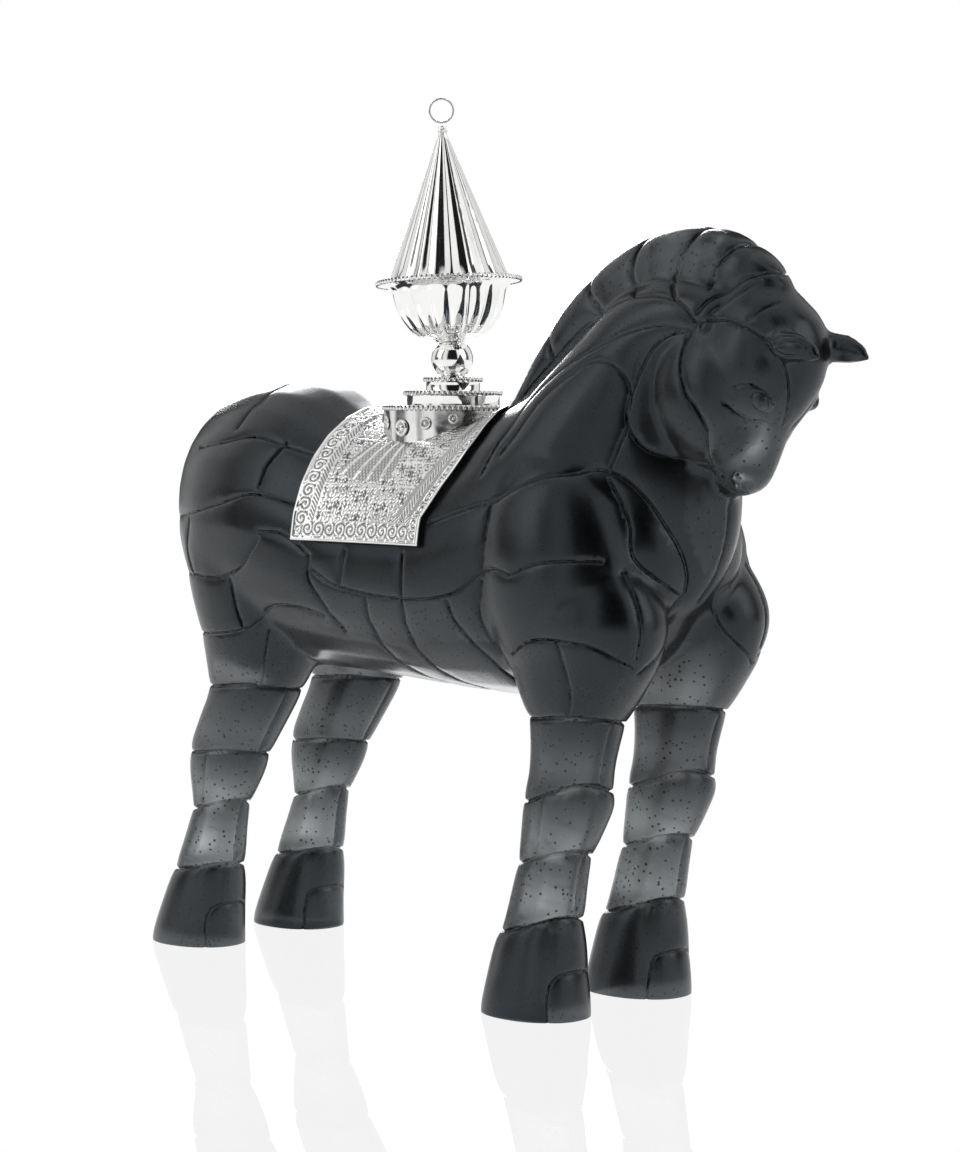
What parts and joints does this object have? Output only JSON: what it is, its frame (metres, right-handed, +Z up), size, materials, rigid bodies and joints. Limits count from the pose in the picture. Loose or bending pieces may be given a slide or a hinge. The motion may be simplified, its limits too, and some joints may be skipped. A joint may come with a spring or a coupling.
{
  "type": "crystal horse sculpture",
  "caption": "Standing cast black crystal horse with carved plates, under a chased silver saddle cloth, collar and a lidded silver cup.",
  "frame": {"origin": "on the ground, at the middle of the sculpture's length and width", "axes": "+X towards the horse's head, +Y to its left, +Z up"},
  "size_m": [0.5026, 0.1593, 0.4988],
  "materials": {
    "black_crystal": "smoke-black cast crystal, satin with a soft gloss, see-through where it is thin",
    "silver": "polished silver, darker in the chasing"
  },
  "bodies": {
    "root": {"crystal_horse": "black_crystal", "saddle_cloth": "silver", "saddle_collar": "silver", "rosette_1": "silver", "rosette_2": "silver", "rosette_3": "silver", "rosette_4": "silver", "rosette_5": "silver", "rosette_6": "silver", "rosette_7": "silver", "rosette_8": "silver", "rosette_9": "silver", "rosette_10": "silver", "stepped_foot": "silver", "ball": "silver", "fluted_bowl": "silver", "fluted_lid": "silver", "lid_ring": "silver"}
  },
  "joints": []
}
